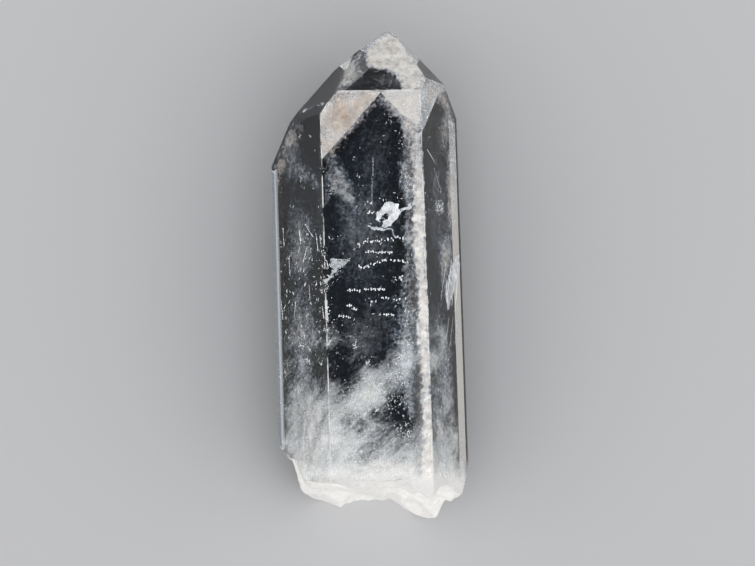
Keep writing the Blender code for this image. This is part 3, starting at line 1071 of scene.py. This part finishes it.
def outline_distance(x, y, outline):
    """Distance inside an outline, in the outline's units; negative outside it."""
    corners = np.array(outline)
    after = np.roll(corners, -1, axis=0)
    nearest = np.full(len(x), 1e9)
    inside = np.zeros(len(x), bool)
    for (ax, ay), (bx, by) in zip(corners, after):
        dx, dy = bx - ax, by - ay
        t = np.clip(((x - ax) * dx + (y - ay) * dy) / (dx * dx + dy * dy), 0, 1)
        nearest = np.minimum(nearest, np.hypot(x - ax - t * dx, y - ay - t * dy))
        if ay != by:
            crossing = ((ay > y) != (by > y)) & (x < (bx - ax) * (y - ay) / (by - ay) + ax)
            inside ^= crossing
    return np.where(inside, nearest, -nearest)


def flaw_sheet(flaw, seed):
    """A thin crumpled sheet that fills an outline given in mm on a face."""
    corners = np.array(flaw.outline)
    low, high = corners.min(axis=0) - FLAW_ROOM, corners.max(axis=0) + FLAW_ROOM

    def shape(s, t):
        x = low[0] + (high[0] - low[0]) * s
        y = low[1] + (high[1] - low[1]) * t
        drop = waves(x, y, *FLAW_SWELLS, seed)
        origin = np.array(under_face(flaw.face, 0, 0, flaw.depth))
        aside = np.array(under_face(flaw.face, 1, 0, flaw.depth)) - origin
        ahead = np.array(under_face(flaw.face, 0, 1, flaw.depth)) - origin
        inward = np.array(under_face(flaw.face, 0, 0, flaw.depth + 1)) - origin
        places = origin + np.outer(x, aside) + np.outer(y, ahead) + np.outer(drop, inward)
        spread = ragged_fill(x, y, flaw.outline, (FLAW_EDGE, flaw.soft), FLAW_WANDER, seed)
        return places, flaw.density * spread, np.full(len(x), flaw.cover)

    return shape, high - low


def build_cracks(settings):
    """The bright flaws, each under the face through which the photograph shows it."""
    tree = body_tree()
    sheets = []
    for number, (name, row) in enumerate(FLAWS.items()):
        shape, size = flaw_sheet(Flaw(*row), FLAW_SEED + number)
        cells = [max(8, int(side * FLAW_CELLS_PER_MM)) for side in size]
        sheets.append(add_sheet(name, cells, shape, tree, FLAW_MARGIN))
    bright = settings.bright_colour
    material = veil_material("bright_flaw", settings.veil_colour, bright, bright, FLAW_LOOK)
    return join_sheets("cracks", sheets, material)


# The stage
INNER_PIECES = ("base_cloud", "milky_cloud", "veils", "bubble_rows", "flecks", "glints", "cracks")
# soft lamps for the inside: direction from the crystal and share of the light
INNER_LAMPS = (
    ((0.0, -0.3, 1.0), 1.0),
    ((-1.0, 0.2, 0.25), 0.45),
    ((1.0, 0.2, 0.25), 0.45),
    ((0.0, -1.0, 0.2), 0.45),
    ((0.0, 1.0, 0.2), 0.35),
    ((0.0, 0.1, -1.0), 0.35),
)
# the same for the broken root, which faces the camera and the root's side
ROOT_LAMPS = (
    ((0.0, -0.15, 1.0), 1.0),
    ((-1.0, -0.4, 0.4), 0.3),
    ((1.0, -0.4, 0.4), 0.3),
    ((0.0, -1.0, 0.1), 0.1),
)
# lamps and floor in metres
LAMP_DISTANCE = 0.5
LAMP_SIZE = 0.3
LAMP_COLOUR = (1.0, 0.98, 0.95)
FLOOR_LAMP_SIZE = 1.8
FLOOR_SIZE = 1.2
FLOOR_DROP = 0.00002
# where the sky's light changes: along Y (negative on the root's side), and with height
ROOT_SIDE = (0.2, -0.6)
TIP_SIDE = (-0.4, 0.5)
LOW_SKY = (0.25, 0.52)
OVERHEAD = (0.72, 0.95)


def build_floor(settings):
    """A plain pale floor, a hair below the crystal."""
    deselect_all()
    bpy.ops.mesh.primitive_plane_add(size=FLOOR_SIZE, location=(0, 0, -FLOOR_DROP))
    floor = bpy.context.object
    floor.name = "floor"
    material, tree, surface = new_material("pale_floor")
    surface.inputs["Roughness"].default_value = 0.85
    surface.inputs["Specular IOR Level"].default_value = 0.2
    speckle = noise_value(tree, object_mm(tree), 0.02, detail=2.0)
    darker = tuple(0.98 * c for c in settings.floor_colour)
    colour = mix_colour(tree, speckle, (*darker, 1), (*settings.floor_colour, 1))
    tree.links.new(colour, surface.inputs["Base Color"])
    floor.data.materials.append(material)


def build_world(settings):
    """Soft studio light, weaker beyond the tip, and dim and bluish overhead.

    Low down on the root's side there is extra light.
    """
    world = bpy.data.worlds.new("studio")
    bpy.context.scene.world = world
    world.use_nodes = True
    tree = world.node_tree
    background = tree.nodes["Background"]
    coords = add_node(tree, "ShaderNodeTexCoord")
    parts = add_node(tree, "ShaderNodeSeparateXYZ", {0: coords.outputs["Generated"]})
    along, up = parts.outputs["Y"], parts.outputs["Z"]
    root_side = ramp(tree, along, *ROOT_SIDE, 0.0, settings.low_light)
    low = math_value(tree, "MULTIPLY", root_side, ramp(tree, up, *LOW_SKY, 1.0, 0.0))
    round_about = ramp(tree, along, *TIP_SIDE, settings.side_light, settings.far_light)
    overhead = ramp(tree, up, *OVERHEAD)
    high = math_value(tree, "MULTIPLY", round_about, math_value(tree, "SUBTRACT", 1.0, overhead))
    high = math_value(tree, "MULTIPLY_ADD", overhead, settings.top_light, high)
    strength = math_value(tree, "ADD", low, high)
    colour = mix_colour(tree, overhead, (*settings.light_colour, 1), (*settings.top_colour, 1))
    tree.links.new(colour, background.inputs["Color"])
    tree.links.new(strength, background.inputs["Strength"])


def linked_lamp(name, direction, power, lit, blocking):
    """A soft lamp that lights one collection, is shaded by another and is itself never seen."""
    lamp = bpy.data.lights.new(name, "AREA")
    lamp.size = LAMP_SIZE
    lamp.energy = power
    lamp.color = LAMP_COLOUR
    obj = new_object(name, lamp)
    away = Vector(direction).normalized()
    obj.location = away * LAMP_DISTANCE
    obj.rotation_euler = away.to_track_quat("Z", "Y").to_euler()
    obj.visible_camera = obj.visible_glossy = obj.visible_transmission = False
    obj.light_linking.receiver_collection = lit
    obj.light_linking.blocker_collection = blocking
    return obj


def build_floor_lamp(settings):
    """A wide soft lamp for the floor alone; the crystal shades it only faintly."""
    only_floor = bpy.data.collections.new("pale_floor")
    only_floor.objects.link(piece_named("floor"))
    lamp = linked_lamp("floor_lamp", (0.0, 0.0, 1.0), settings.floor_light, only_floor, None)
    lamp.data.size = FLOOR_LAMP_SIZE


def build_inner_lamps(settings):
    """Lamps for the milky things inside and for the broken root.

    They stand for the light that wanders about in milky quartz, which the render leaves out.
    """
    inner = bpy.data.collections.new("inside_the_quartz")
    for name in INNER_PIECES:
        inner.objects.link(piece_named(name))
    outer = bpy.data.collections.new("the_broken_root")
    outer.objects.link(piece_named("crystal_body"))
    for number, (direction, share) in enumerate(INNER_LAMPS):
        linked_lamp(f"inner_lamp_{number}", direction, settings.inner_light * share, inner, inner)
    for number, (direction, share) in enumerate(ROOT_LAMPS):
        linked_lamp(f"root_lamp_{number}", direction, settings.root_light * share, outer, inner)


def build_camera():
    """The photograph's camera."""
    data = bpy.data.cameras.new("camera")
    data.sensor_width = SENSOR
    data.lens = PIXELS_PER_MM * CAMERA_DISTANCE * SENSOR / PHOTO_WIDTH
    data.clip_start = 0.01
    data.clip_end = 20.0
    camera = new_object("camera", data)
    place = Matrix(rolled_axes()).transposed().to_4x4()
    place.translation = camera_place() * MM
    camera.matrix_world = place
    bpy.context.scene.camera = camera


def set_render_look(scene):
    """Many bounces for the clear quartz, and a contrast close to the photograph's."""
    scene.view_settings.view_transform = "Standard"
    scene.view_settings.look = "Medium High Contrast"
    cycles = scene.cycles
    cycles.use_denoising = True
    cycles.max_bounces = 24
    cycles.transmission_bounces = 24
    cycles.glossy_bounces = 16
    cycles.diffuse_bounces = 3
    cycles.transparent_max_bounces = 48
    cycles.caustics_refractive = False
    cycles.caustics_reflective = False
    cycles.blur_glossy = 0.0
    cycles.sample_clamp_indirect = 0.0


# Settings, operators and panel
class QuartzSettings(bpy.types.PropertyGroup):
    """What a user would change about the crystal."""

    ior: FloatProperty(name="IOR", description="How strongly the quartz bends light", default=1.544)
    rim_depth: FloatProperty(
        name="Rim depth",
        description="How far the two lower long edges are cut back",
        default=0.0003,
        unit="LENGTH",
    )
    edge_wear: FloatProperty(
        name="Edge wear",
        description="How far the upper edges are worn down",
        default=0.00004,
        unit="LENGTH",
    )
    cloud_grains: IntProperty(
        name="Cloud grains", description="Tiny grains in the milky cloud", default=4200
    )
    side_flecks: IntProperty(
        name="Side flecks", description="Upright slivers at the left side", default=80
    )
    specks: IntProperty(name="Specks", description="Fine specks all through the crystal", default=260)
    break_colour: FloatVectorProperty(
        name="Quartz colour",
        description="Colour of the quartz and of its broken root",
        default=(0.98, 0.98, 0.975),
        subtype="COLOR",
    )
    absorption_colour: FloatVectorProperty(
        name="Depth colour",
        description="Colour that deep quartz takes on",
        default=(0.88, 0.94, 1.0),
        subtype="COLOR",
    )
    absorption: FloatProperty(
        name="Absorption", description="How soon deep quartz takes it on, per metre", default=1.2
    )
    # also the colour of the painted light in the veils: the cream tip, the bright band and the left rim
    cloud_colour: FloatVectorProperty(
        name="Cloud colour",
        description="Dense milky quartz",
        default=(0.955, 0.935, 0.905),
        subtype="COLOR",
    )
    stain_colour: FloatVectorProperty(
        name="Stain colour",
        description="Faint rusty tint near the tip",
        default=(0.5, 0.36, 0.27),
        subtype="COLOR",
    )
    veil_colour: FloatVectorProperty(
        name="Veil colour",
        description="Thin haze, a little blue",
        default=(0.71, 0.8, 0.95),
        subtype="COLOR",
    )
    wisp_colour: FloatVectorProperty(
        name="Wisp colour",
        description="Thin wisps of the cloud",
        default=(0.9, 0.92, 0.94),
        subtype="COLOR",
    )
    bright_colour: FloatVectorProperty(
        name="Flaw colour",
        description="Bubbles, flecks and flaws",
        default=(0.95, 0.96, 0.98),
        subtype="COLOR",
    )
    floor_colour: FloatVectorProperty(
        name="Floor colour", description="Plain pale floor", default=(0.86, 0.87, 0.89), subtype="COLOR"
    )
    light_colour: FloatVectorProperty(
        name="Light colour",
        description="Colour of the studio light",
        default=(1.0, 0.965, 0.92),
        subtype="COLOR",
    )
    top_colour: FloatVectorProperty(
        name="Top colour",
        description="Colour of the light from above",
        default=(0.68, 0.81, 1.0),
        subtype="COLOR",
    )
    low_light: FloatProperty(
        name="Low light", description="Extra light from low down on the root's side", default=0.34
    )
    side_light: FloatProperty(
        name="Side light", description="Studio light from all round", default=0.55
    )
    far_light: FloatProperty(
        name="Far light", description="Studio light from beyond the tip", default=0.34
    )
    top_light: FloatProperty(name="Top light", description="Studio light from above", default=0.27)
    inner_light: FloatProperty(
        name="Inner light",
        description="Light scattered inside the quartz",
        default=2.0,
        subtype="POWER",
    )
    root_light: FloatProperty(
        name="Root light",
        description="Light scattered in the broken root",
        default=0.85,
        subtype="POWER",
    )
    floor_light: FloatProperty(
        name="Floor light", description="Extra light for the floor", default=2.1, subtype="POWER"
    )


class QUARTZ_OT_crystal_body(bpy.types.Operator):
    """Make the clear body with its rims, worn edges and broken root"""

    bl_idname = "quartz.crystal_body"
    bl_label = "Crystal body"

    def execute(self, context):
        build_body(context.scene.quartz)
        return {"FINISHED"}


class QUARTZ_OT_base_cloud(bpy.types.Operator):
    """Scatter the grains of the milky cloud above the root, and lay its sheets"""

    bl_idname = "quartz.base_cloud"
    bl_label = "Base cloud"

    def execute(self, context):
        build_cloud(context.scene.quartz)
        build_milk(context.scene.quartz)
        return {"FINISHED"}


class QUARTZ_OT_veils(bpy.types.Operator):
    """Hang the hazy veils inside the crystal"""

    # the veils also hold sheets of painted light: the cream tip, the bright band and the left rim
    bl_idname = "quartz.veils"
    bl_label = "Veils"

    def execute(self, context):
        build_veils(context.scene.quartz)
        return {"FINISHED"}


class QUARTZ_OT_bubble_rows(bpy.types.Operator):
    """Draw the rows of bubbles under the front face"""

    bl_idname = "quartz.bubble_rows"
    bl_label = "Bubble rows"

    def execute(self, context):
        build_bubbles(context.scene.quartz)
        return {"FINISHED"}


class QUARTZ_OT_cracks(bpy.types.Operator):
    """Make the bright flaws under the faces"""

    bl_idname = "quartz.cracks"
    bl_label = "Cracks"

    def execute(self, context):
        build_cracks(context.scene.quartz)
        return {"FINISHED"}


class QUARTZ_OT_flecks(bpy.types.Operator):
    """Sprinkle slivers and specks through the crystal"""

    bl_idname = "quartz.flecks"
    bl_label = "Flecks"

    def execute(self, context):
        build_flecks(context.scene.quartz)
        return {"FINISHED"}


class QUARTZ_OT_glints(bpy.types.Operator):
    """Place the clusters of bright grains and the short streaks"""

    bl_idname = "quartz.glints"
    bl_label = "Glints"

    def execute(self, context):
        build_glints(context.scene.quartz)
        return {"FINISHED"}


class QUARTZ_OT_stage(bpy.types.Operator):
    """Set up the floor, the soft light and the camera"""

    bl_idname = "quartz.stage"
    bl_label = "Stage"

    def execute(self, context):
        settings = context.scene.quartz
        build_floor(settings)
        build_world(settings)
        build_inner_lamps(settings)
        build_floor_lamp(settings)
        build_camera()
        set_render_look(context.scene)
        return {"FINISHED"}


OPERATORS = (
    QUARTZ_OT_crystal_body,
    QUARTZ_OT_base_cloud,
    QUARTZ_OT_veils,
    QUARTZ_OT_bubble_rows,
    QUARTZ_OT_cracks,
    QUARTZ_OT_flecks,
    QUARTZ_OT_glints,
    QUARTZ_OT_stage,
)


class QUARTZ_PT_panel(bpy.types.Panel):
    """Lists the steps in their order, and the settings"""

    bl_label = "Quartz crystal"
    bl_idname = "QUARTZ_PT_panel"
    bl_space_type = "VIEW_3D"
    bl_region_type = "UI"
    bl_category = "Quartz"

    def draw(self, context):
        for operator in OPERATORS:
            self.layout.operator(operator.bl_idname)
        settings = context.scene.quartz
        for key in QuartzSettings.__annotations__:
            self.layout.prop(settings, key)


CLASSES = (QuartzSettings, *OPERATORS, QUARTZ_PT_panel)


def register():
    for cls in CLASSES:
        bpy.utils.register_class(cls)
    bpy.types.Scene.quartz = PointerProperty(type=QuartzSettings)


def unregister():
    del bpy.types.Scene.quartz
    for cls in reversed(CLASSES):
        bpy.utils.unregister_class(cls)


def main():
    register()
    bpy.ops.quartz.crystal_body()
    bpy.ops.quartz.base_cloud()
    bpy.ops.quartz.veils()
    bpy.ops.quartz.bubble_rows()
    bpy.ops.quartz.cracks()
    bpy.ops.quartz.flecks()
    bpy.ops.quartz.glints()
    bpy.ops.quartz.stage()


if __name__ == "__main__":
    main()
